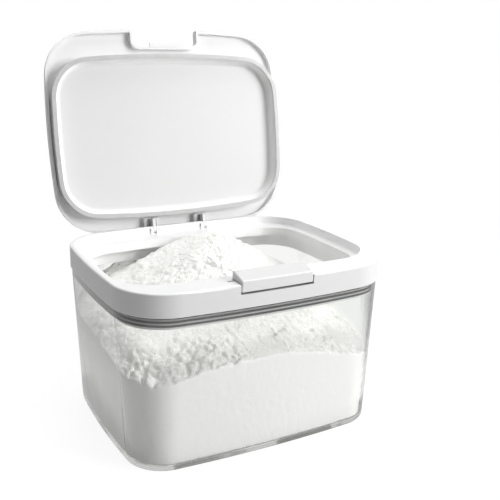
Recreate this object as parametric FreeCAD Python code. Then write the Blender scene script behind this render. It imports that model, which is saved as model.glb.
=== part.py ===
import FreeCAD, Part
import math
import os

# Laundry detergent storage box: a clear moulded tub heaped with powder, closed by a white
# collar that is snapped on for good, with a sealed flip lid and a press latch at the front.
# Millimetres. +Z is up, +X to the right and -Y is the front, where the latch is.
# The origin is the centre of the base, on the surface that the box stands on.

Vector = FreeCAD.Vector
UP = Vector(0, 0, 1)
ALONG_X = Vector(1, 0, 0)
PAST = 1.0                     # how far a cutting shape runs past the face it opens
JOIN = 0.5                     # how deep a joined shape runs into its neighbour

# --- Plan form, shared by every piece: a rectangle with bowed sides and round corners ---
width = 229.0                  # collar, across the middle of its sides
depth = 186.0
front_arc = 1000.0             # radius of the bowed front and back
side_arc = 780.0               # radius of the bowed sides
corner_radius = 41.0

# --- Tub ---
tub_rim_drop = 10.0            # bare rim below the collar's top, hidden inside it
tub_base_inset = 6.2           # how far the base stands in from the collar's outline
tub_top_inset = 0.5            # the same at the rim: the difference is the draft
tub_base_corner = 32.0
tub_wall = 2.6
tub_floor = 3.4
tub_base_round = 3.2
tub_rim_round = 0.5

# --- Collar ---
rim_height = 141.0             # top of the collar above the table
skirt_height = 17.8
skirt_wall = 1.4
skirt_clearance = 0.4          # round the tub's rim, and above the shoulder that it thins from
deck_thickness = 2.2
rim_width = 4.2                # side and back rims, between the skirt and the recess
front_deck = 22.5              # broad deck that carries the latch
edge_round = 1.4
recess_depth = 7.5             # step down to the ledge that the lid seals on
recess_round = 1.6
ledge_thickness = 2.5
ledge_side = 8.5
ledge_front = 7.0
ledge_back = 15.3
mouth_drop = 15.0              # how far the mouth's wall reaches below the rim
mouth_wall = 2.2
plug_reach = 10.0              # how far the plug wall reaches below the skirt, into the tub
plug_wall = 2.0
seal_space = 1.7               # between the tub's wall and the plug wall
deck_room_reach = 12.0         # hollow under the front deck, back from the recess's front
rib_first = 41.0               # ribs under the front deck that the tub's rim stops on
rib_pitch = 17.0
rib_count = 3
rib_thickness = 1.6
rib_reach = 6.0                # from the plug wall's outer face into the box

# --- Tub seal: silicone sleeve with lips, pressed between plug wall and tub ---
sleeve_thickness = 0.7
sleeve_rise = 1.8              # its lower edge above the plug wall's
lip_rise = 0.5                 # first lip above the sleeve's lower edge
lip_height = 0.9
lip_pitch = 3.0
lip_count = 3
lip_clearance = 0.15

# --- Lid ---
lid_inset = 2.0                # lid's outline inside the collar's
lid_front_inset = 4.0          # the same at the front
lid_gap = 0.7                  # seam between the closed lid and the rim
lid_height = 6.8               # from the rim to the edge of the lid's top
lid_crown = 2.2                # how much the middle of the top stands above its corners
lid_wall = 2.2
lid_top_round = 2.6
lid_open_angle = 99.0          # the lid leans back on the collar's back face
liner_side_gap = 1.7           # liner's wall to the recess wall, at the sides
liner_front_gap = 4.2
liner_back_gap = 12.5          # leaves the hinge arms their room
liner_wall = 3.4
liner_foot_round = 1.0
liner_panel = 1.8
panel_rise = 1.5               # liner's panel above the collar's rim
panel_round = 5.0
gasket_thickness = 1.1
gasket_lip = 0.8               # how far the gasket's lip stands out of the liner
gasket_inner_lip = 0.6
gasket_clearance = 0.3         # above the ledge, before it is squeezed

# --- Hinges ---
hinge_spacing = 50.0
hinge_axis_inset = 3.4         # from the collar's back face to the pins
hinge_axis_drop = 3.2          # pins below the rim
lid_relief = 4.3               # radius about the pins that the lid keeps clear of the rim
pin_radius = 1.25
pin_chamfer = 0.25
running_clearance = 0.05
knuckle_radius = 2.5
arm_width = 2.6
lug_width = 2.4
side_clearance = 0.3
notch_clearance = 0.5
hinge_slot_length = 10.5
hinge_slot_roof = 2.6
hinge_boss_wall = 3.0          # solid part of the lid beside each hinge slot
web_inset = 0.5                # arm's back edge inside the lid's back face
gusset_rise = 1.0              # arm's lower edge above the knuckle's

# --- Latch ---
button_width = 60.0
button_depth = 15.6
button_nose_drop = 4.0         # how far its top's front edge lies below the back edge
button_drop = 5.6              # how far its front face reaches below the rim
button_wall = 1.8
button_face = 2.2
button_gap = 0.8
button_round = 1.2
button_face_depth = 4.0        # depth of the part that hangs below the deck
latch_axis_inset = 11.6        # pivot behind the collar's front face
latch_axis_drop = 2.6          # pivot below the rim
latch_pin_radius = 1.0
latch_pin_overhang = 5.5       # length of the pin's slot beyond each side of the pocket
latch_pin_play = 0.3
latch_boss_wall = 1.2
latch_boss_length = 5.0
pin_snap_ratio = 0.9           # slot mouth over pin diameter: the pin snaps in
pocket_floor_wall = 1.5
pin_block_half = 3.0           # block beside the pocket that the pin's slot is cut in
pin_block_wall = 1.5
press_gap = 1.8                # room under the button's front edge for its travel
hook_width = 26.0
hook_reach = 1.5
hook_thickness = 1.6
catch_width = 30.0
catch_reach = 3.3
catch_thickness = 1.9
catch_height = 0.5             # catch lip's underside above the rim
catch_gap = 0.5                # between the catch lip and the hook above it
notch_gap = 3.4                # behind the button
notch_corner = 5.5
spring_wire = 0.5
spring_turns = 4
spring_gap = 0.25              # between the coil and the pin
spring_arm_reach = 7.0         # forward from the pin to the tip under the button's top

# --- Powder ---
heap_x = 18.0                  # peak of the heap
heap_y = 44.0
heap_rise = 0.6                # peak above the rim
heap_top_round = 7.0
heap_left_slope = 0.5          # falls away from the ridge, as rise over run
heap_right_slope = 0.62
heap_front_slope = 0.51
heap_back_slope = 0.42
front_ridge_skew = 0.17        # sideways drift of the ridge for each step back
back_ridge_skew = -0.5         # the same behind the peak
lump_height = 0.8              # soft lumps on the slopes
lump_length_x = 74.0
lump_length_y = 63.0
heap_columns = 21
heap_rows = 17
powder_clearance = 0.3

# --- Worked out from the above ---
half_width = width / 2
half_depth = depth / 2
tub_rim_height = rim_height - tub_rim_drop
skirt_foot = rim_height - skirt_height
ledge_top = rim_height - recess_depth
ledge_foot = ledge_top - ledge_thickness
mouth_foot = rim_height - mouth_drop
plug_foot = skirt_foot - plug_reach
recess_side = half_width - rim_width
recess_front = -half_depth + front_deck
recess_back = half_depth - rim_width
mouth_side = recess_side - ledge_side
mouth_front = recess_front + ledge_front
mouth_back = recess_back - ledge_back
lid_foot = rim_height + lid_gap
lid_top = rim_height + lid_height
lid_ceiling = lid_top - lid_wall
liner_side = recess_side - liner_side_gap
liner_front = recess_front + liner_front_gap
liner_back = recess_back - liner_back_gap
gasket_foot = ledge_top + gasket_clearance
liner_foot = gasket_foot + gasket_thickness
panel_foot = rim_height + panel_rise
hinge_y = half_depth - hinge_axis_inset
hinge_z = rim_height - hinge_axis_drop
hinge_places = (-hinge_spacing / 2, hinge_spacing / 2)
hinge_slot_half = arm_width / 2 + side_clearance + lug_width + side_clearance
lid_front = -half_depth + lid_front_inset
lid_back = half_depth - lid_inset
latch_y = -half_depth + latch_axis_inset
latch_z = rim_height - latch_axis_drop
button_half = button_width / 2
button_front = -half_depth
button_back = button_front + button_depth
button_foot = rim_height - button_drop
pocket_half = button_half + button_gap
pocket_floor = tub_rim_height + pocket_floor_wall
pin_slot_half = pocket_half + latch_pin_overhang
hook_foot = rim_height + catch_height + catch_thickness + catch_gap
notch_back = button_back + notch_gap
heap_peak = rim_height + heap_rise


def plan(half_w, front, back, corner, z, out=0.0):
    """Closed outline at height z: four bowed sides joined by tangent corner arcs.

    front and back are where it crosses the Y axis; out grows it by a constant distance.
    """
    middle = (front + back) / 2
    half_w = half_w + out
    half_d = (back - front) / 2 + out
    long_r = front_arc + out
    short_r = side_arc + out
    corner = corner + out
    # The corner's centre lies where two circles meet, one about each bowed side's centre.
    long_y = half_d - long_r
    short_x = half_w - short_r
    to_long = long_r - corner
    to_short = short_r - corner
    apart = math.hypot(short_x, long_y)
    along = (to_long**2 - to_short**2 + apart**2) / (2 * apart)
    aside = math.sqrt(to_long**2 - along**2)
    ux, uy = short_x / apart, -long_y / apart
    cx = ux * along + uy * aside
    cy = long_y + uy * along - ux * aside
    if cx < 0 or cy < 0:
        cx = ux * along - uy * aside
        cy = long_y + uy * along + ux * aside
    scale_long = long_r / to_long
    scale_short = short_r / to_short
    on_long = (cx * scale_long, long_y + (cy - long_y) * scale_long)
    on_short = (short_x + (cx - short_x) * scale_short, cy * scale_short)
    reach_x = (on_long[0] + on_short[0]) / 2 - cx
    reach_y = (on_long[1] + on_short[1]) / 2 - cy
    reach = corner / math.hypot(reach_x, reach_y)
    on_corner = (cx + reach_x * reach, cy + reach_y * reach)

    def point(x, y):
        return Vector(x, middle + y, z)

    arcs = []
    for sx, sy in ((1, -1), (1, 1), (-1, 1), (-1, -1)):
        start, end = (on_long, on_short) if sx * sy < 0 else (on_short, on_long)
        a = point(sx * start[0], sy * start[1])
        m = point(sx * on_corner[0], sy * on_corner[1])
        b = point(sx * end[0], sy * end[1])
        arcs.append(Part.Arc(a, m, b).toShape())
        if sx * sy < 0:
            across = point(sx * half_w, 0)
            far = point(sx * end[0], -sy * end[1])
        else:
            across = point(0, sy * half_d)
            far = point(-sx * end[0], sy * end[1])
        arcs.append(Part.Arc(b, across, far).toShape())
    return Part.Wire(arcs)


def opened(shape):
    """Swing a piece of the lid from closed to its resting place, leaning back."""
    shape.rotate(Vector(0, hinge_y, hinge_z), ALONG_X, -lid_open_angle)
    return shape


def prism(wire, height):
    return Part.Face(wire).extrude(UP * height)


def body_block(low, high, inset=0.0):
    """Upright solid with the collar's outline, moved in."""
    wire = plan(half_width, -half_depth, half_depth, corner_radius, low, -inset)
    return prism(wire, high - low)


def recess_block(low, high, inset=0.0):
    corner = corner_radius - rim_width
    return prism(plan(recess_side, recess_front, recess_back, corner, low, -inset), high - low)


def mouth_block(low, high, inset=0.0):
    corner = corner_radius - rim_width - ledge_side
    return prism(plan(mouth_side, mouth_front, mouth_back, corner, low, -inset), high - low)


def liner_block(low, high, inset=0.0):
    corner = corner_radius - rim_width - liner_side_gap
    return prism(plan(liner_side, liner_front, liner_back, corner, low, -inset), high - low)


def lid_block(low, high, inset=0.0):
    corner = corner_radius - lid_inset
    return prism(plan(half_width - lid_inset, lid_front, lid_back, corner, low, -inset), high - low)


def crown_ball(inset=0.0):
    """Great ball whose surface is the lid's top: it passes over the corners at lid_top."""
    reach = math.hypot(half_width - corner_radius, half_depth - corner_radius) + corner_radius
    radius = (reach**2 + lid_crown**2) / (2 * lid_crown)
    return Part.makeSphere(radius - inset, Vector(0, 0, lid_top + lid_crown - radius))


def tub_plan(z, inset=0.0):
    """The tub's outer face at height z: its draft and its corners change on the way up."""
    share = z / tub_rim_height
    moved = tub_base_inset + (tub_top_inset - tub_base_inset) * share
    top_corner = corner_radius - tub_top_inset
    corner = tub_base_corner + (top_corner - tub_base_corner) * share
    return plan(half_width - moved, -half_depth + moved, half_depth - moved, corner, z, -inset)


def tub_block(low, high, inset=0.0):
    """Solid that fills the tub between two heights, a constant distance inside its face."""
    return Part.makeLoft([tub_plan(low, inset), tub_plan(high, inset)], True, True)


def plug_block(low, high, inset=0.0):
    """Upright solid inside the plug wall's outer face, a constant distance in from it."""
    block = prism(tub_plan(plug_foot, tub_wall + seal_space + inset), high - low)
    block.translate(UP * (low - plug_foot))
    return block


def box(x0, x1, y0, y1, z0, z1):
    return Part.makeBox(x1 - x0, y1 - y0, z1 - z0, Vector(x0, y0, z0))


def rod(x0, x1, y, z, radius):
    """Round bar along X."""
    return Part.makeCylinder(radius, x1 - x0, Vector(x0, y, z), ALONG_X)


def edges_at(shape, z):
    """Edges that lie flat at height z."""
    found = []
    for edge in shape.Edges:
        bound = edge.BoundBox
        if max(abs(bound.ZMin - z), abs(bound.ZMax - z)) < 0.01:
            found.append(edge)
    return found


def fuse(shape, pieces):
    return shape.fuse(list(pieces)).removeSplitter()


def container_body():
    """Clear tub: drafted walls, rounded foot edge, and a thinner rim up inside the skirt."""
    outside = tub_block(0, tub_rim_height)
    outside = outside.makeFillet(tub_base_round, edges_at(outside, 0))
    inside = tub_block(tub_floor, tub_rim_height + PAST, tub_wall)
    inside = inside.makeFillet(tub_base_round, edges_at(inside, tub_floor))
    low = skirt_foot - skirt_clearance
    high = tub_rim_height + PAST
    rim = body_block(low, high, skirt_wall + skirt_clearance)
    tub = outside.cut([inside, body_block(low, high).cut(rim)])
    return tub.makeFillet(tub_rim_round, edges_at(tub, tub_rim_height))


def heap_height(x, y):
    """Height of the loose powder: a skewed round-topped cone with soft lumps."""
    dy = y - heap_y
    dx = x - heap_x - dy * (front_ridge_skew if dy < 0 else back_ridge_skew)
    run_x = dx * (heap_left_slope if dx < 0 else heap_right_slope)
    run_y = dy * (heap_front_slope if dy < 0 else heap_back_slope)
    fall = math.sqrt(run_x**2 + run_y**2 + heap_top_round**2) - heap_top_round
    lumps = math.sin(math.tau * x / lump_length_x) * math.sin(math.tau * y / lump_length_y)
    away = min(1.0, fall / heap_top_round)
    return heap_peak - fall - lump_height * away * (1 + lumps)


def detergent_powder():
    """Loose powder: fills the tub below its own curved surface and heaps up in the mouth."""
    inset = tub_wall + powder_clearance
    low = tub_block(tub_floor, plug_foot - powder_clearance, inset)
    low = low.makeFillet(tub_base_round, edges_at(low, tub_floor))
    neck = mouth_block(plug_foot - PAST, panel_foot, powder_clearance)
    filling = fuse(low, [neck])
    grid = []
    for i in range(heap_columns):
        x = width * (i / (heap_columns - 1) - 0.5)
        line = []
        for j in range(heap_rows):
            y = depth * (j / (heap_rows - 1) - 0.5)
            line.append(Vector(x, y, heap_height(x, y)))
        grid.append(line)
    surface = Part.BSplineSurface()
    surface.interpolate(grid)
    above = surface.toShape().extrude(UP * rim_height)
    return filling.cut(above)


def body_seal():
    """Silicone sleeve round the collar's plug wall, with lips that press on the tub."""
    foot = plug_foot + sleeve_rise
    sleeve = plug_block(foot, ledge_foot, -sleeve_thickness)
    lips = []
    for i in range(lip_count):
        z = foot + lip_rise + i * lip_pitch
        lips.append(tub_block(z, z + lip_height, tub_wall + lip_clearance))
    core = plug_block(foot - PAST, ledge_foot + PAST)
    return fuse(sleeve, lips).cut(core)


def collar_shell():
    """Skirt and deck as a solid block, with the plug that stands down inside the tub."""
    shell = body_block(skirt_foot, rim_height)
    shell = shell.makeFillet(edge_round, edges_at(shell, rim_height))
    return shell.fuse(plug_block(plug_foot, rim_height - deck_thickness))


def collar_hollows():
    """Underside: room for the tub's rim, the hollow behind the plug wall, the mouth's end."""
    low = plug_foot - PAST
    groove = body_block(low, ledge_foot, skirt_wall).cut(plug_block(low, ledge_foot))
    hollow = plug_block(low, ledge_foot, plug_wall).cut(mouth_block(low, ledge_foot, -mouth_wall))
    return [groove, hollow, mouth_block(low, mouth_foot, -mouth_wall)]


def deck_hollow():
    """Hollow under the front deck; the plug wall and the ribs stay in it."""
    low = ledge_foot - PAST
    high = rim_height - deck_thickness
    room = body_block(low, high, skirt_wall).cut(recess_block(low, high, -skirt_wall))
    room = room.common(
        box(-half_width, half_width, -half_depth, recess_front + deck_room_reach, low, high)
    )
    kept = [plug_block(low, high).cut(plug_block(low, high, plug_wall))]
    rib_back = -half_depth + tub_top_inset + tub_wall + seal_space + rib_reach
    for side in (-1, 1):
        for i in range(rib_count):
            x = side * (rib_first + rib_pitch * i)
            left, right = x - rib_thickness / 2, x + rib_thickness / 2
            kept.append(box(left, right, -half_depth, rib_back, tub_rim_height, high))
    return room.cut(kept)


def latch_seat():
    """Walls round the latch's pocket, and the blocks beside it that hold the pin's ends."""
    top = rim_height - JOIN
    wall_half = pocket_half + skirt_wall
    seat = box(-wall_half, wall_half, -half_depth + JOIN, recess_front, tub_rim_height, top)
    pieces = [seat.common(body_block(skirt_foot, rim_height))]
    length = latch_pin_overhang + pin_block_wall
    for start in (-pocket_half - length, pocket_half):
        back = latch_y + pin_block_half
        block = box(start, start + length, latch_y - pin_block_half, back, tub_rim_height, top)
        pieces.append(block)
    return pieces


def latch_pocket():
    """Open-fronted pocket for the button, and the slot that its pin snaps down into."""
    top = rim_height + PAST
    front = -half_depth - PAST
    pocket = box(-pocket_half, pocket_half, front, button_back + button_gap, pocket_floor, top)
    sill_top = button_foot - press_gap
    sill_back = -half_depth + skirt_wall
    sill = box(-pocket_half, pocket_half, front, sill_back, tub_rim_height, sill_top)
    slot = rod(
        -pin_slot_half, pin_slot_half, latch_y, latch_z, latch_pin_radius + running_clearance
    )
    snap = latch_pin_radius * pin_snap_ratio
    mouth = box(-pin_slot_half, pin_slot_half, latch_y - snap, latch_y + snap, latch_z, top)
    return [pocket.cut(sill), slot, mouth]


def hinge_lug(x, side):
    """One of a pair of lugs inside the back rim that hold a hinge pin."""
    inner = x + side * (arm_width / 2 + side_clearance)
    outer = inner + side * lug_width
    x0, x1 = sorted((inner, outer))
    foot = box(x0, x1, hinge_y - knuckle_radius, hinge_y, ledge_top - JOIN, hinge_z)
    return foot.fuse(rod(x0, x1, hinge_y, hinge_z, knuckle_radius))


def hinge_bore(x):
    half = arm_width / 2 + side_clearance + lug_width + PAST
    return rod(x - half, x + half, hinge_y, hinge_z, pin_radius + running_clearance)


def arm_relief(x):
    """Notch in the back rim that the lid's arm swings down into."""
    half = arm_width / 2 + side_clearance
    reach = knuckle_radius + notch_clearance
    return box(x - half, x + half, hinge_y - reach, half_depth + PAST, hinge_z - reach, lid_top)


def collar_frame():
    """White collar: skirt, deck, recess with a sealing ledge, mouth, plug wall and hinge lugs."""
    recess = recess_block(ledge_top, rim_height + PAST)
    recess = recess.makeFillet(recess_round, edges_at(recess, ledge_top))
    mouth = mouth_block(plug_foot - PAST, rim_height)
    collar = collar_shell().cut(collar_hollows() + [deck_hollow(), recess, mouth])
    collar = collar.fuse(latch_seat()).cut(latch_pocket())
    lugs = [hinge_lug(x, side) for x in hinge_places for side in (-1, 1)]
    holes = [hinge_bore(x) for x in hinge_places]
    reliefs = [arm_relief(x) for x in hinge_places]
    return fuse(collar, lugs).cut(holes + reliefs)


def notch(grow, z0, z1):
    """Straight-sided gap in the lid's front edge that the latch button stands in."""
    half = pocket_half + grow
    back = notch_back + grow
    gap = box(-half, half, -half_depth - PAST, back, z0, z1)
    corners = []
    for edge in gap.Edges:
        bound = edge.BoundBox
        if bound.ZLength > bound.XLength + bound.YLength and bound.YMax > back - 0.01:
            corners.append(edge)
    return gap.makeFillet(notch_corner + grow, corners)


def lid_shell():
    """Crowned top and down-turned skirt, with the notch walled round."""
    crest = lid_top + lid_crown + PAST
    foot = rim_height - PAST
    block = lid_block(lid_foot, crest).common(crown_ball())
    top_edges = [edge for edge in block.Edges if edge.BoundBox.ZMin > lid_ceiling]
    block = block.makeFillet(lid_top_round, top_edges)
    room = lid_block(foot, crest, lid_wall).common(crown_ball(lid_wall))
    room = room.cut(notch(lid_wall, foot, crest))
    return block.cut([room, notch(0, foot, crest)])


def lid_catch():
    """Lip in the notch that the button's hook reaches over."""
    half = catch_width / 2
    low = rim_height + catch_height
    return box(-half, half, notch_back - catch_reach, notch_back + JOIN, low, low + catch_thickness)


def hinge_arm(x):
    """Plate on the lid with the eye that the pin goes through."""
    x0, x1 = x - arm_width / 2, x + arm_width / 2
    front = hinge_y - hinge_slot_length + JOIN
    low = hinge_z - knuckle_radius + gusset_rise
    eye = rod(x0, x1, hinge_y, hinge_z, knuckle_radius)
    web = box(x0, x1, front, lid_back - web_inset, hinge_z, lid_top)
    gusset = box(x0, x1, front, hinge_y, low, lid_top)
    return [eye, web, gusset]


def lid_cover():
    """White lid: shell, catch, and hinge arms standing in slots under its back edge."""
    bosses = []
    slots = []
    arms = []
    for x in hinge_places:
        front = hinge_y - hinge_slot_length
        half = hinge_slot_half + hinge_boss_wall
        back = lid_back - lid_wall / 2
        bosses.append(box(x - half, x + half, front, back, lid_foot + JOIN, lid_top))
        half = hinge_slot_half
        back = lid_back - lid_wall
        top = lid_top - hinge_slot_roof
        slots.append(box(x - half, x + half, front + PAST, back, rim_height, top))
        arms += hinge_arm(x)
    relief = rod(-half_width, half_width, hinge_y, hinge_z, lid_relief)
    cover = lid_shell().fuse(bosses + [lid_catch()]).cut(slots + [relief])
    return fuse(cover, arms).cut([hinge_bore(x) for x in hinge_places])


def lid_liner():
    """White tray under the lid: its wall drops into the recess, its panel clears the heap."""
    dish = liner_block(liner_foot - PAST, panel_foot, liner_wall)
    dish = dish.makeFillet(panel_round, edges_at(dish, panel_foot))
    crest = lid_top + lid_crown
    top_room = liner_block(panel_foot + liner_panel, crest, liner_wall)
    liner = liner_block(liner_foot, crest).common(crown_ball(lid_wall)).cut([dish, top_room])
    return liner.makeFillet(liner_foot_round, edges_at(liner, liner_foot))


def lid_seal():
    """Flat silicone gasket on the edge of the liner's wall, with a thin lip outside it."""
    gasket = liner_block(gasket_foot, liner_foot, -gasket_lip)
    return gasket.cut(liner_block(gasket_foot - PAST, lid_foot, liner_wall - gasket_inner_lip))


def hinge_pin(x):
    half = arm_width / 2 + side_clearance + lug_width
    pin = rod(x - half, x + half, hinge_y, hinge_z, pin_radius)
    return pin.makeChamfer(pin_chamfer, [edge for edge in pin.Edges if edge.Closed])


def button_top(y):
    """Height of the button's slanted top."""
    return lid_top - (button_back - y) * button_nose_drop / button_depth


def under_button_top(half, front, back, low, down):
    """Block whose slanted top lies a given distance under the button's."""
    outline = [
        Vector(-half, front, low),
        Vector(-half, back, low),
        Vector(-half, back, button_top(back) - down),
        Vector(-half, front, button_top(front) - down),
    ]
    side = Part.Face(Part.makePolygon(outline + outline[:1]))
    return side.extrude(ALONG_X * half * 2)


def latch_button():
    """Hollow rocker: its front face follows the collar, its hook holds the lid's catch."""
    low = button_foot - PAST
    block = under_button_top(button_half, button_front - PAST, button_back, button_foot, 0)
    block = block.common(body_block(low, lid_top + PAST))
    sharp = []
    for edge in block.Edges:
        bound = edge.BoundBox
        on_top = bound.ZMin > rim_height
        at_front = bound.YMax < button_front + button_face and bound.ZLength > button_drop
        if on_top or at_front:
            sharp.append(edge)
    block = block.makeFillet(button_round, sharp)
    half = button_half - button_wall
    front, back = button_front + button_face, button_back - button_wall
    inside = under_button_top(half, front, back, low, button_wall)
    boss_radius = latch_pin_radius + latch_boss_wall
    half = button_half + PAST
    step_front = button_front + button_face_depth
    step = box(-half, half, step_front, button_back + PAST, low, latch_z - boss_radius)
    hook = box(
        -hook_width / 2,
        hook_width / 2,
        button_back - JOIN,
        button_back + hook_reach,
        hook_foot,
        hook_foot + hook_thickness,
    )
    inner = button_half - latch_boss_length
    bosses = [
        rod(-button_half, -inner, latch_y, latch_z, boss_radius),
        rod(inner, button_half, latch_y, latch_z, boss_radius),
    ]
    bore = rod(-half, half, latch_y, latch_z, latch_pin_radius + running_clearance)
    return fuse(block.cut([inside, step]), [hook] + bosses).cut(bore)


def latch_pin():
    half = pin_slot_half - latch_pin_play
    return rod(-half, half, latch_y, latch_z, latch_pin_radius)


def latch_spring():
    """Torsion spring round the latch pin: one leg on the floor, one under the button's top."""
    radius = spring_wire / 2
    mean = latch_pin_radius + spring_gap + radius
    tip_y = -spring_arm_reach
    ceiling = button_top(latch_y + tip_y) - button_wall
    tip_z = ceiling - radius - running_clearance - latch_z
    # The arm leaves the coil along the tangent that passes through its tip.
    reach = math.hypot(tip_y, tip_z)
    leave = math.atan2(tip_z, tip_y) - math.acos(mean / reach)
    turns = spring_turns + leave / math.tau
    pitch = spring_wire * 1.15
    helix = Part.makeHelix(pitch, pitch * turns, mean)
    ring = Part.Wire(Part.makeCircle(radius, Vector(mean, 0, 0), Vector(0, 1, 0)))
    coil = Part.Wire(helix.Edges).makePipeShell([ring], True, True)
    coil.rotate(Vector(0, 0, 0), Vector(1, 1, 1), 120)
    start_x = -pitch * turns / 2
    coil.translate(Vector(start_x, latch_y, latch_z))
    leg_top = Vector(start_x, latch_y + mean, latch_z)
    leg = Part.makeCylinder(radius, latch_z - pocket_floor - running_clearance, leg_top, UP * -1)
    arm_start = Vector(-start_x, latch_y + mean * math.cos(leave), latch_z + mean * math.sin(leave))
    arm_along = Vector(0, -math.sin(leave), math.cos(leave))
    arm_length = math.sqrt(reach**2 - mean**2)
    arm = Part.makeCylinder(radius, arm_length, arm_start, arm_along)
    return fuse(coil, [leg, arm])


parts = {
    "container_body": container_body,
    "detergent_powder": detergent_powder,
    "body_seal": body_seal,
    "collar_frame": collar_frame,
    "lid_cover": lambda: opened(lid_cover()),
    "lid_liner": lambda: opened(lid_liner()),
    "lid_seal": lambda: opened(lid_seal()),
    "hinge_pin_left": lambda: hinge_pin(hinge_places[0]),
    "hinge_pin_right": lambda: hinge_pin(hinge_places[1]),
    "latch_button": latch_button,
    "latch_pin": latch_pin,
    "latch_spring": latch_spring,
}

os.makedirs("parts", exist_ok=True)
for name, make in parts.items():
    shape = make()
    state = "valid" if shape.isValid() else "INVALID"
    print(name, len(shape.Solids), state, round(shape.Volume / 1000, 2), "cm3", len(shape.Faces))
    shape.exportStep("parts/" + name + ".step")
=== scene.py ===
import math
import random

import bmesh
import bpy
from mathutils import Matrix, Vector, noise
from mathutils.bvhtree import BVHTree


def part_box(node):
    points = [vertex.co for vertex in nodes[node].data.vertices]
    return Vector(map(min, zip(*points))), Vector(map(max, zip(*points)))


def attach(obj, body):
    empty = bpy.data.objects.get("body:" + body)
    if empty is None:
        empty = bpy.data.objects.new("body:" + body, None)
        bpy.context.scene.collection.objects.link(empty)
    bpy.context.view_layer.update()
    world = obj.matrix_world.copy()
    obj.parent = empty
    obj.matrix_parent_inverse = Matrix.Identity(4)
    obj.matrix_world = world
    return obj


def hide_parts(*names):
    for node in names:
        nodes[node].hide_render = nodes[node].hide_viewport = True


# Laundry detergent storage box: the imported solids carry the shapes; this script gives them
# their plastics, silicone and steel, and stands loose crumbly powder in for the plain heap.
# Metres, +Z up, -Y the front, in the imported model's frame.

MM = 0.001
UP = Vector((0, 0, 1))
DOWN = Vector((0, 0, -1))

# --- Camera ---
CAMERA_AT = (-0.2679, -0.5383, 0.3129)
CAMERA_YAW = 28.65             # degrees, turned from +Y towards +X
CAMERA_PITCH = 16.10           # degrees below level
CAMERA_ROLL = 1.21
FOCAL_MM = 54.27
SENSOR_MM = 36.0

# --- Tub and its seal ---
TUB_ABSORPTION = 28.0          # per metre of plastic
LIP_MIDDLE = 0.95 * MM         # the seal's first lip above its lower edge, as in the solids
LIP_PITCH = 3.0 * MM
LIP_HALF = 0.45 * MM           # half of the painted dark line where a lip presses on the wall
LIP_FADE = 0.5 * MM
# grey of the painted dark lines at the lips
LIP_SHADE_GREY = 0.11

# --- Lid ---
LID_OPEN = math.radians(99)    # how far the solids' lid stands open
LID_AXIS = (0, -math.sin(LID_OPEN), -math.cos(LID_OPEN))    # square to the lid's broad faces
BROAD_FACE = (0.995, 0.998)    # cosine to that axis, where a face is partly and fully broad

# --- Powder: the mesh ---
SPOKES = 620    # points round the heap
RINGS = 112      # from the heap's middle to the tub's wall
WALL_ROWS = 36   # down the face on the tub's wall
RAY_START = 0.05               # over the heap, for rays down on it
ROOF_REACH = 6 * MM            # below the loose surface, for rays up at the collar
COLLAR_GAP = 0.3 * MM
EDGE_GUESS = 60 * MM           # height of the heap's edge, before it is looked for
EDGE_PASSES = 3
EDGE_INSET = 0.4 * MM          # in from the wall, where the edge's height is read
EDGE_DROP = 0.6 * MM
RIM_GAP = 0.25 * MM            # between the wall and the outermost ring
WALL_GAP = 0.15 * MM           # between the wall and the face on it, where it isn't pitted
WALL_PIT = 0.22 * MM
WALL_PIT_SIZE = 0.003
FLOOR_GAP = 0.3 * MM
FOOT_RISE = 1.0 * MM           # over the floor, where the foot's outline is read
FOOT_INSET = 0.8 * MM

# --- Powder: its loose surface ---
BEND_SEED = 7                  # Blender's vector noise starts from the clock unless seeded
BEND_SIZE = 0.006              # crumbs are bent out of shape by a noise of this size
BEND = 0.0018
PATCH_SIZE = 0.024             # of crumbly and smoother patches
PATCH_MIDDLE = 0.68            # crumbliness, from 0 to 1
PATCH_SPREAD = 1.1
SWELL_SIZE = 0.02
SWELL = 1.4                    # in mm, as are the rises and sinks below
LARGE_CRUMBS = (0.0088, 0.42, 3.2)    # size, crevice as a share of it, and rise
MIDDLING_CRUMBS = (0.0046, 0.40, 2.0)
SMALL_CRUMBS = (0.0023, 0.35, 1.0)
CRUMB_SINK = 1.8               # so that crumbs don't raise the heap as a whole
SWELL_SINK = 0.8
LEAST_LOOSE = 0.14             # crumbliness of the smoothest patches
RIGHT_SIDE = 0.05              # x past which the heap is smoother
RIGHT_FALL = 5.0               # crumbliness lost per metre past it
FRONT_SIDE = -0.02             # y in front of which it is at its crumbliest
FRONT_FADE = 0.03
SETTLE_SLOPE = 1.7             # steepest rise over run that loose powder keeps
SETTLE_PASSES = 6

# --- Powder: loose grains ---
GRAIN_SEED = 7
GRAIN_COUNT = 160
GRAIN_LEAST = 0.28             # radius in mm
GRAIN_SPREAD = 0.75
GRAIN_MARGIN = 3 * MM
GRAIN_LOWEST = 0.07            # below the heap's peak
GRAIN_STEEPEST = 0.35          # upward share of the normal, under which no grain stays
GRAIN_LIFT = 0.3               # of its radius

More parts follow.
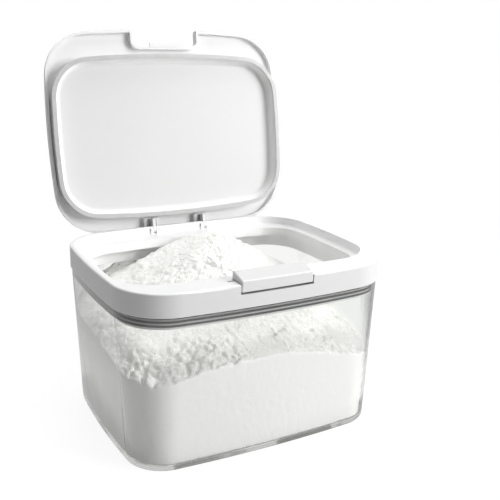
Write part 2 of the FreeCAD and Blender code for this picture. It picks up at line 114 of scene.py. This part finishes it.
# --- Stage ---
FLOOR_SIZE = 8.0
FLOOR_ALBEDO = 0.5             # for the light that it sends back up
FLOOR_GLOW = 0.89              # near the box, with no light on it
FLOOR_LIT = 0.14               # share of the lamps' light added there, so that it takes shadow
FLOOR_WHITE = (0.3, 0.9)       # from the middle, where the floor starts to fade and is plain white
FLOOR_MIRRORED = 0.75          # as glossy pieces reflect it
BESIDE_BOX = (0.17, 0.24)      # level across the camera's view, where the painted grey starts and is full
BESIDE_GREY = 0.35
UNDER_BOX_X = (0.118, 0.130)   # where the painted shadow under the box starts to end and has ended
UNDER_BOX_Y = (0.096, 0.108)
# grey of the painted shadow under the box
UNDER_SHADOW_GREY = 0.34
AMBIENT = 0.14                 # world's light on the object
LAMPS = {                      # place, aim, size and power in watts
    "key": ((1.7, -1.6, 0.95), (0, 0, 0.12), 1.2, 58.0),
    "top": ((0.2, 0.1, 2.3), (0, 0, 0.12), 2.2, 45.0),
    "back": ((0.7, 2.0, 0.9), (0, 0, 0.16), 1.0, 15.0),
}

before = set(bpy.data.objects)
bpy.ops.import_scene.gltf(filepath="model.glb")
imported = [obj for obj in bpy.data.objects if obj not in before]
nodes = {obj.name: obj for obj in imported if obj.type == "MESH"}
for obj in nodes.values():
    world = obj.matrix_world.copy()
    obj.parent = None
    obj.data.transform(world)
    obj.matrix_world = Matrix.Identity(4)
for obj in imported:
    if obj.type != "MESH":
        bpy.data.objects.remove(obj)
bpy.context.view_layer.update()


# ---------------------------------------------------------------- shader nodes
def new_material(name):
    material = bpy.data.materials.new(name)
    material.use_nodes = True
    tree = material.node_tree
    shader = tree.nodes["Principled BSDF"]
    return material, tree, shader


def feed(tree, value, entry):
    """Gives a node's input a fixed value, or links another node's output to it."""
    if isinstance(value, bpy.types.NodeSocket):
        tree.links.new(value, entry)
    else:
        entry.default_value = value


def give(tree, node, **values):
    """Sets a node's properties and feeds its inputs, in whose names "_" stands for a space."""
    for key, value in values.items():
        if hasattr(node, key):
            setattr(node, key, value)
        else:
            feed(tree, value, node.inputs[key.replace("_", " ")])


def add(tree, kind, **values):
    node = tree.nodes.new(kind)
    give(tree, node, **values)
    return node


def grey(level):
    return (level,) * 3


def opaque_grey(level):
    return (*grey(level), 1)


def object_coords(tree):
    return tree.nodes.new("ShaderNodeTexCoord").outputs["Object"]


def noise_tex(tree, coords, scale, detail, rough=0.55):
    node = add(tree, "ShaderNodeTexNoise", Vector=coords, Scale=scale, Detail=detail, Roughness=rough)
    return node.outputs["Fac"]


def ramp(tree, source, *stops):
    """A colour that follows the source through stops, each a position and a colour."""
    node = add(tree, "ShaderNodeValToRGB", Fac=source)
    elements = node.color_ramp.elements
    for _ in stops[2:]:
        elements.new(1.0)
    for element, (position, color) in zip(elements, stops):
        element.position = position
        element.color = (*color, 1)
    return node.outputs["Color"]


def spread(tree, source, **limits):
    """The source from one range to another, each 0 to 1 unless given, and kept within them."""
    return add(tree, "ShaderNodeMapRange", Value=source, **limits).outputs["Result"]


def bump(tree, source, strength, distance, normal=None):
    node = add(tree, "ShaderNodeBump", Height=source, Strength=strength, Distance=distance)
    if normal is not None:
        give(tree, node, Normal=normal)
    return node.outputs["Normal"]


def scalar_math(tree, operation, *values):
    node = add(tree, "ShaderNodeMath", operation=operation)
    for value, entry in zip(values, node.inputs):
        feed(tree, value, entry)
    return node.outputs["Value"]


def vector_math(tree, operation, *values, result="Vector"):
    node = add(tree, "ShaderNodeVectorMath", operation=operation)
    for value, entry in zip(values, node.inputs):
        feed(tree, value, entry)
    return node.outputs[result]


def mixed(tree, kind, share, low, high, blend_type="MIX"):
    """Between two colours, of kind RGBA, or two vectors, of kind VECTOR."""
    node = add(tree, "ShaderNodeMix", data_type=kind, blend_type=blend_type)
    give(tree, node, Factor=share, A=low, B=high)
    return node.outputs["Result"]


def multiplied(tree, one, other):
    return mixed(tree, "RGBA", 1.0, one, other, "MULTIPLY")


def either(tree, one, other):
    """1 where either of two marks is 1."""
    return scalar_math(tree, "MAXIMUM", one, other)


def blend(tree, share, low, high):
    """Between two shaders."""
    node = add(tree, "ShaderNodeMixShader", Fac=share)
    tree.links.new(low, node.inputs[1])
    tree.links.new(high, node.inputs[2])
    return node.outputs["Shader"]


def glow(tree, level):
    return add(tree, "ShaderNodeEmission", Strength=level).outputs["Emission"]


def across(tree, vector, direction, near, far):
    """0 while a vector's reach along a direction, or against it, is under near, and 1 past far."""
    along = vector_math(tree, "DOT_PRODUCT", vector, direction, result="Value")
    return spread(tree, scalar_math(tree, "ABSOLUTE", along), From_Min=near, From_Max=far)


def sighted(tree, path):
    """1 for rays from the camera, and for those that have come through something clear."""
    return either(tree, path.outputs["Is Camera Ray"], path.outputs["Is Transmission Ray"])


# ---------------------------------------------------------------- which way a wall faces, for painted shade
def facing_out(tree, centre, axis):
    """0 on walls that face the axis, 0.5 on flat faces and 1 on walls that face away from it."""
    spot = vector_math(tree, "SUBTRACT", object_coords(tree), centre)
    along = vector_math(tree, "PROJECT", spot, axis)
    outward = vector_math(tree, "NORMALIZE", vector_math(tree, "SUBTRACT", spot, along))
    normal = tree.nodes.new("ShaderNodeTexCoord").outputs["Normal"]
    lean = vector_math(tree, "DOT_PRODUCT", outward, normal, result="Value")
    return spread(tree, lean, From_Min=-0.7, From_Max=0.7)


def round_collar(tree):
    return facing_out(tree, (0, 0, 0), UP)


def round_lid(tree):
    """As for the collar, but about the middle of the lid, which stands open."""
    low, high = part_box("lid_liner")
    return facing_out(tree, (low + high) / 2, LID_AXIS)


def lid_normal(tree):
    """Smoothed normals bunch at the middle of the lid's broad faces, so those take their own."""
    faces = tree.nodes.new("ShaderNodeNewGeometry")
    smooth, own = faces.outputs["Normal"], faces.outputs["True Normal"]
    turned = add(tree, "ShaderNodeVectorTransform", vector_type="NORMAL", Vector=own)
    give(tree, turned, convert_from="WORLD", convert_to="OBJECT")
    broad = across(tree, turned.outputs["Vector"], LID_AXIS, *BROAD_FACE)
    return mixed(tree, "VECTOR", broad, smooth, own)


# ---------------------------------------------------------------- materials
def moulded_plastic(name, side, painted_shades, gloss_range, grain, plain_normal=None):
    """Satin moulded plastic: faint cloudiness, fine spark-eroded grain, uneven gloss, painted shade.

    The greys given are painted light and shade, for walls that face in, for flat faces and for walls
    that face out, which side tells apart. plain_normal gives the normal that the grain is laid on.
    """
    material, tree, shader = new_material(name)
    coords = object_coords(tree)
    inner, flat, outer = (grey(level) for level in painted_shades)
    # Painted light and shade: the grey is picked by which way the wall faces, not lit by the lamps.
    shade = ramp(tree, side(tree), (0.0, inner), (0.33, flat), (0.67, flat), (1.0, outer))
    cloud = noise_tex(tree, coords, 14.0, 3.0)
    dim = ramp(tree, cloud, (0.3, (0.976, 0.979, 0.976)), (0.7, grey(1)))
    gloss = spread(tree, cloud, To_Min=gloss_range[0], To_Max=gloss_range[1])
    wave = noise_tex(tree, coords, 60.0, 2.0)
    fine = noise_tex(tree, coords, 2600.0, 2.0, 0.6)
    base = plain_normal(tree) if plain_normal else None
    soft = bump(tree, wave, 0.25, 0.25 * MM, base)
    rough = bump(tree, fine, grain, 0.02 * MM, soft)
    give(tree, shader, Base_Color=multiplied(tree, shade, dim), Roughness=gloss, Normal=rough, IOR=1.46)
    give(tree, shader, Subsurface_Weight=0.12, Subsurface_Radius=grey(1), Subsurface_Scale=1.2 * MM)
    return material


def clear_plastic():
    """Clear moulded tub: faint moulding waves and fine scuffs; long paths inside it turn grey."""
    material, tree, shader = new_material("clear_tub")
    coords = object_coords(tree)
    wave = bump(tree, noise_tex(tree, coords, 22.0, 2.0), 0.15, 0.3 * MM)
    scuff = noise_tex(tree, coords, 420.0, 5.0, 0.7)
    gloss = spread(tree, scuff, From_Min=0.45, From_Max=0.75, To_Min=0.02, To_Max=0.09)
    give(tree, shader, Base_Color=(0.99, 0.995, 0.985, 1), Roughness=gloss, Normal=wave)
    give(tree, shader, Transmission_Weight=1.0, IOR=1.49)
    # Shadow and diffuse rays go straight through, so that the powder is lit as through thin plastic.
    path = tree.nodes.new("ShaderNodeLightPath")
    passing = either(tree, path.outputs["Is Shadow Ray"], path.outputs["Is Diffuse Ray"])
    through = tree.nodes.new("ShaderNodeBsdfTransparent").outputs["BSDF"]
    surface = blend(tree, passing, shader.outputs["BSDF"], through)
    depth = add(tree, "ShaderNodeVolumeAbsorption", Density=TUB_ABSORPTION, Color=(0.5, 0.52, 0.48, 1))
    give(tree, tree.nodes["Material Output"], Surface=surface, Volume=depth.outputs["Volume"])
    return material


def silicone(name):
    """Pale, faintly cloudy silicone. Returns its node tree and tint too, to be added to."""
    material, tree, shader = new_material(name)
    cloud = noise_tex(tree, object_coords(tree), 90.0, 3.0)
    tint = ramp(tree, cloud, (0.3, grey(0.60)), (0.7, grey(0.68)))
    give(tree, shader, Base_Color=tint, Normal=bump(tree, cloud, 0.3, 0.1 * MM))
    give(tree, shader, Roughness=0.28, IOR=1.41, Transmission_Weight=0.2)
    return material, tree, tint


def pressed_silicone():
    """The tub's seal: pale sleeve, with painted dark lines where its lips lie against the clear wall."""
    material, tree, tint = silicone("pressed_silicone")
    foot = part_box("body_seal")[0].z
    height = add(tree, "ShaderNodeSeparateXYZ", Vector=object_coords(tree)).outputs["Z"]
    lift = scalar_math(tree, "SUBTRACT", height, foot + LIP_MIDDLE)
    from_lip = scalar_math(tree, "PINGPONG", lift, LIP_PITCH / 2)
    band = spread(tree, from_lip, From_Min=LIP_HALF, From_Max=LIP_HALF + LIP_FADE)
    # Painted shade: dark lines where the lips lie on the clear wall.
    shade = mixed(tree, "RGBA", band, opaque_grey(LIP_SHADE_GREY), tint)
    give(tree, tree.nodes["Principled BSDF"], Base_Color=shade)
    return material


def steel():
    """Drawn steel, its fine lines along X, as the pins lie."""
    material, tree, shader = new_material("drawn_steel")
    stretch = add(tree, "ShaderNodeMapping", Vector=object_coords(tree), Scale=(40.0, 900.0, 900.0))
    lines = noise_tex(tree, stretch.outputs["Vector"], 1.0, 3.0)
    tint = ramp(tree, lines, (0.3, (0.48, 0.48, 0.49)), (0.7, (0.66, 0.66, 0.67)))
    give(tree, shader, Base_Color=tint, Normal=bump(tree, lines, 0.4, 0.02 * MM))
    give(tree, shader, Metallic=1.0, Roughness=0.3)
    return material


def powder_material(name, crumbly):
    """Washing powder: matte, with faint patches.

    A crumbly one is rough as well. It is painted whitest on the face pressed on the tub, and greyer
    on its top, as painted shade of its crumbs. Slopes that face right, towards the key lamp, are
    painted darker than the rest of its top, a painted shade that evens out the lamp's light.
    """
    material, tree, shader = new_material(name)
    coords = object_coords(tree)
    patch = noise_tex(tree, coords, 45.0, 5.0, 0.65)
    loose = ramp(tree, patch, (0.32, (0.845, 0.845, 0.82)), (0.68, (0.90, 0.90, 0.88)))
    give(tree, shader, Base_Color=loose, Roughness=0.95, Specular_IOR_Level=0.15)
    if not crumbly:
        return material
    # Painted shade: the loose top greyer than the face pressed on the tub.
    pressed = ramp(tree, patch, (0.32, (0.972, 0.97, 0.955)), (0.68, (0.985, 0.984, 0.975)))
    facing = tree.nodes.new("ShaderNodeNewGeometry").outputs["True Normal"]
    split = add(tree, "ShaderNodeSeparateXYZ", Vector=facing)
    up = spread(tree, split.outputs["Z"], From_Min=0.02, From_Max=0.25)
    # Painted shade: darker on slopes that face right, towards the key lamp.
    painted_key_shade = ramp(tree, split.outputs["X"], (0.0, grey(1.11)), (0.25, grey(0.85)))
    tint = mixed(tree, "RGBA", up, pressed, multiplied(tree, loose, painted_key_shade))
    crumb = noise_tex(tree, coords, 420.0, 4.0, 0.75)
    grain = noise_tex(tree, coords, 1500.0, 3.0, 0.7)
    cells = add(tree, "ShaderNodeTexVoronoi", Vector=coords, Scale=1100.0).outputs["Distance"]
    coarse = bump(tree, scalar_math(tree, "MULTIPLY", crumb, up), 0.7, 0.9 * MM)
    fine = bump(tree, grain, 0.45, 0.25 * MM, coarse)
    give(tree, shader, Base_Color=tint, Normal=bump(tree, cells, 0.35, 0.2 * MM, fine))
    return material


# Painted greys by facing: walls that face in, flat faces, walls that face out.
white = moulded_plastic("white_satin", round_collar, (0.93, 0.81, 0.77), (0.30, 0.40), 0.25)
white_lid = moulded_plastic("white_lid", round_lid, (0.92, 0.80, 0.9), (0.34, 0.46), 0.35, lid_normal)
white_liner = moulded_plastic(
    "white_liner", round_lid, (0.92, 0.71, 0.78), (0.34, 0.46), 0.35, lid_normal
)
white_button = moulded_plastic("white_button", round_collar, (0.8, 0.67, 0.78), (0.24, 0.32), 0.15)
finishes = {
    "container_body": clear_plastic(),
    "body_seal": pressed_silicone(),
    "collar_frame": white,
    "lid_cover": white_lid,
    "lid_liner": white_liner,
    "lid_seal": silicone("milky_silicone")[0],
    "latch_button": white_button,
}
steel_finish = steel()
for name, node in nodes.items():
    node.data.materials.clear()
    node.data.materials.append(finishes.get(name, steel_finish))
powder = powder_material("washing_powder", crumbly=True)
single_grain = powder_material("powder_grain", crumbly=False)


# ---------------------------------------------------------------- powder
def solid_tree(name):
    mesh = nodes[name].data
    return BVHTree.FromPolygons([v.co for v in mesh.vertices], [p.vertices for p in mesh.polygons])


def new_piece(name, shape, material):
    """A smooth-shaded object of the shape, which is freed."""
    mesh = bpy.data.meshes.new(name)
    shape.to_mesh(mesh)
    shape.free()
    for polygon in mesh.polygons:
        polygon.use_smooth = True
    mesh.materials.append(material)
    piece = bpy.data.objects.new(name, mesh)
    bpy.context.scene.collection.objects.link(piece)
    return piece


def crumbs(point, size, crevice, rise):
    """Packed crumbs of a size, each with its own height: 0 in the crevices, and up to the rise."""
    near, places = noise.voronoi(point / size)[:2]
    inside = min(1.0, (near[1] - near[0]) / crevice)
    own = 0.55 + 0.45 * noise.cell(places[0] * 7.3)
    return rise * (inside * (2 - inside) * own)


def crumb_rise(x, y):
    """How far the loose surface stands above the smooth heap, in metres."""
    point = Vector((x, y, 0.3))
    point += noise.noise_vector(point / BEND_SIZE) * BEND
    patch = PATCH_MIDDLE + PATCH_SPREAD * noise.noise(point / PATCH_SIZE)
    patch -= RIGHT_FALL * max(0.0, x - RIGHT_SIDE)
    front = min(1.0, max(0.0, (FRONT_SIDE - y) / FRONT_FADE))
    loose = max(LEAST_LOOSE, min(1.0, patch)) * (0.92 + 0.08 * front)
    rise = SWELL * noise.noise(point / SWELL_SIZE) - SWELL_SINK
    rise += loose * (crumbs(point, *LARGE_CRUMBS) + crumbs(point, *MIDDLING_CRUMBS) - CRUMB_SINK)
    rise += (0.3 + 0.5 * loose) * crumbs(point, *SMALL_CRUMBS)
    return rise * MM


def settle(columns):
    """Lets powder slide off ledges of the loose surface that are steeper than it can stand."""
    for _ in range(SETTLE_PASSES):
        for i, column in enumerate(columns):
            beside = columns[i - 1]
            for k in range(RINGS):
                near = [beside[k], columns[(i + 1) % SPOKES][k], column[min(k + 1, RINGS - 1)]]
                lowest = min(v.co.z + SETTLE_SLOPE * (v.co - column[k].co).xy.length for v in near)
                column[k].co.z = min(column[k].co.z, lowest)


def build_powder():
    """One closed mesh: the crumbly top, the face pressed on the tub's wall, and the bottom."""
    noise.seed_set(BEND_SEED)
    plain = solid_tree("detergent_powder")
    collar = solid_tree("collar_frame")
    low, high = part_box("detergent_powder")
    middle = Vector(((low.x + high.x) / 2, (low.y + high.y) / 2, 0))
    floor_z = low.z + FLOOR_GAP
    foot_z = floor_z + FOOT_RISE

    def reach(direction, z):
        """From the middle out to the side of the plain heap, or None past it."""
        return plain.ray_cast(Vector((middle.x, middle.y, z)), direction)[3]

    def top(x, y):
        """Height of the plain heap, or None beside it."""
        spot = plain.ray_cast(Vector((x, y, high.z + RAY_START)), DOWN)[0]
        return spot.z if spot is not None else None

    def under_collar(x, y, z):
        """Keeps the loose surface below the collar, or below the heap's peak where that is open."""
        spot = collar.ray_cast(Vector((x, y, z - ROOF_REACH)), UP)[0]
        roof = spot.z - COLLAR_GAP if spot is not None else high.z
        return min(z, roof)

    shape = bmesh.new()
    columns = []
    centre = shape.verts.new((middle.x, middle.y, top(middle.x, middle.y)))
    for i in range(SPOKES):
        angle = math.tau * i / SPOKES
        direction = Vector((math.cos(angle), math.sin(angle), 0))
        edge_z = EDGE_GUESS
        for _ in range(EDGE_PASSES):
            wall = reach(direction, edge_z)
            inside = middle + direction * (wall - EDGE_INSET)
            edge_z = top(inside.x, inside.y) - EDGE_DROP
        column = []
        for r in range(1, RINGS + 1):
            share = r / RINGS
            at = middle + direction * (wall * share - (RIM_GAP if r == RINGS else 0))
            z = top(at.x, at.y) or edge_z
            z = under_collar(at.x, at.y, z + crumb_rise(at.x, at.y))
            column.append(shape.verts.new((at.x, at.y, z)))
        rim_z = column[-1].co.z
        for row in range(1, WALL_ROWS + 1):
            z = rim_z + (floor_z - rim_z) * row / WALL_ROWS
            out = reach(direction, max(z, foot_z)) if row < WALL_ROWS else None
            if out is None:
                out = reach(direction, foot_z) - FOOT_INSET
            point = middle + direction * out
            point.z = z
            pit = WALL_PIT * max(0.0, noise.noise(point / WALL_PIT_SIZE))
            point -= direction * (pit + WALL_GAP)
            column.append(shape.verts.new(point))
        columns.append(column)
    settle(columns)
    last = len(columns[0]) - 1
    base = shape.verts.new((middle.x, middle.y, floor_z))
    for i in range(SPOKES):
        here, there = columns[i], columns[(i + 1) % SPOKES]
        shape.faces.new((centre, here[0], there[0]))
        for k in range(last):
            shape.faces.new((here[k], here[k + 1], there[k + 1], there[k]))
        shape.faces.new((base, there[last], here[last]))
    return new_piece("powder_heap", shape, powder)


def build_grains(heap):
    """Loose grains and small crumbs lying on the heap."""
    random.seed(GRAIN_SEED)
    surface = BVHTree.FromObject(heap, bpy.context.evaluated_depsgraph_get())
    low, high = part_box("detergent_powder")
    shape = bmesh.new()
    for _ in range(GRAIN_COUNT):
        x = random.uniform(low.x + GRAIN_MARGIN, high.x - GRAIN_MARGIN)
        y = random.uniform(low.y + GRAIN_MARGIN, high.y - GRAIN_MARGIN)
        size = MM * (GRAIN_LEAST + GRAIN_SPREAD * random.random() ** 3)
        start = Vector((x, y, high.z + RAY_START))
        spot, normal = surface.ray_cast(start, DOWN)[:2]
        if spot is None or normal.z < GRAIN_STEEPEST or high.z - spot.z > GRAIN_LOWEST:
            continue
        turn = Matrix.Rotation(random.uniform(0, math.tau), 4, "Z")
        scale = Matrix.Diagonal((size, size * random.uniform(0.6, 1), size * random.uniform(0.5, 0.9), 1))
        place = Matrix.Translation(spot + normal * size * GRAIN_LIFT)
        bmesh.ops.create_icosphere(shape, subdivisions=1, radius=1.0, matrix=place @ turn @ scale)
    return new_piece("powder_grains", shape, single_grain)


heap = build_powder()
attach(heap, "container")
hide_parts("detergent_powder")
grains = build_grains(heap)
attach(grains, "container")


# ---------------------------------------------------------------- stage, light and camera
def build_floor():
    """Pale floor, white to the camera but for the box's shadow.

    Seen through the tub's wall, it is white behind the box, with painted grey beside it and painted
    shadow under it, so that the clear edges show.
    """
    bpy.ops.mesh.primitive_plane_add(size=FLOOR_SIZE, location=(0, 0, 0))
    floor = bpy.context.object
    floor.name = "floor"
    material, tree, shader = new_material("pale_floor")
    give(tree, shader, Base_Color=opaque_grey(FLOOR_ALBEDO), Roughness=0.9, Specular_IOR_Level=0.0)
    coords = object_coords(tree)
    path = tree.nodes.new("ShaderNodeLightPath")
    near = tree.nodes.new("ShaderNodeAddShader")
    lit = add(tree, "ShaderNodeBsdfDiffuse", Color=opaque_grey(FLOOR_LIT))
    tree.links.new(glow(tree, FLOOR_GLOW), near.inputs[0])
    tree.links.new(lit.outputs["BSDF"], near.inputs[1])
    # The floor turns plain white away from the box, so that no horizon shows.
    reach = vector_math(tree, "LENGTH", coords, result="Value")
    away = spread(tree, reach, From_Min=FLOOR_WHITE[0], From_Max=FLOOR_WHITE[1])
    pale = blend(tree, away, near.outputs["Shader"], glow(tree, 1.0))
    yaw = math.radians(CAMERA_YAW)
    beside = across(tree, coords, (math.cos(yaw), -math.sin(yaw), 0), *BESIDE_BOX)
    beyond_x = across(tree, coords, (1, 0, 0), *UNDER_BOX_X)
    beyond_y = across(tree, coords, (0, 1, 0), *UNDER_BOX_Y)
    # Painted grey beside the box and painted shadow under it, seen only through the clear tub.
    behind = blend(tree, beside, glow(tree, 1.0), glow(tree, BESIDE_GREY))
    through = blend(tree, either(tree, beyond_x, beyond_y), glow(tree, UNDER_SHADOW_GREY), behind)
    seen = blend(tree, path.outputs["Is Transmission Ray"], pale, through)
    mirrored = glow(tree, FLOOR_MIRRORED)
    light = blend(tree, path.outputs["Is Glossy Ray"], shader.outputs["BSDF"], mirrored)
    surface = blend(tree, sighted(tree, path), light, seen)
    give(tree, tree.nodes["Material Output"], Surface=surface)
    floor.data.materials.append(material)


def build_world():
    """White to the camera and in reflections, and dim as a light on the object."""
    world = bpy.data.worlds.new("studio")
    bpy.context.scene.world = world
    world.use_nodes = True
    tree = world.node_tree
    path = tree.nodes.new("ShaderNodeLightPath")
    white_rays = either(tree, sighted(tree, path), path.outputs["Is Glossy Ray"])
    level = spread(tree, white_rays, To_Min=AMBIENT, To_Max=1.0)
    give(tree, tree.nodes["Background"], Color=opaque_grey(1), Strength=level)


def area_light(name, at, aim, size, power):
    data = bpy.data.lights.new(name, "AREA")
    data.shape = "SQUARE"
    data.size = size
    data.energy = power
    lamp = bpy.data.objects.new(name, data)
    bpy.context.scene.collection.objects.link(lamp)
    lamp.location = at
    lamp.rotation_euler = (Vector(aim) - Vector(at)).to_track_quat("-Z", "Y").to_euler()


def build_camera():
    yaw, pitch, roll = (math.radians(v) for v in (CAMERA_YAW, CAMERA_PITCH, CAMERA_ROLL))
    forward = Vector(
        (math.sin(yaw) * math.cos(pitch), math.cos(yaw) * math.cos(pitch), -math.sin(pitch))
    )
    level = Vector((math.cos(yaw), -math.sin(yaw), 0))
    raised = level.cross(forward)
    right = level * math.cos(roll) + raised * math.sin(roll)
    up = raised * math.cos(roll) - level * math.sin(roll)
    data = bpy.data.cameras.new("camera")
    data.lens = FOCAL_MM
    data.sensor_width = SENSOR_MM
    camera = bpy.data.objects.new("camera", data)
    bpy.context.scene.collection.objects.link(camera)
    turn = Matrix((right, up, -forward)).transposed().to_4x4()
    camera.matrix_world = Matrix.Translation(CAMERA_AT) @ turn
    bpy.context.scene.camera = camera


build_floor()
build_world()
for lamp_name, (at, aim, size, power) in LAMPS.items():
    area_light(lamp_name, at, aim, size, power)
build_camera()
bpy.context.scene.view_settings.view_transform = "Standard"
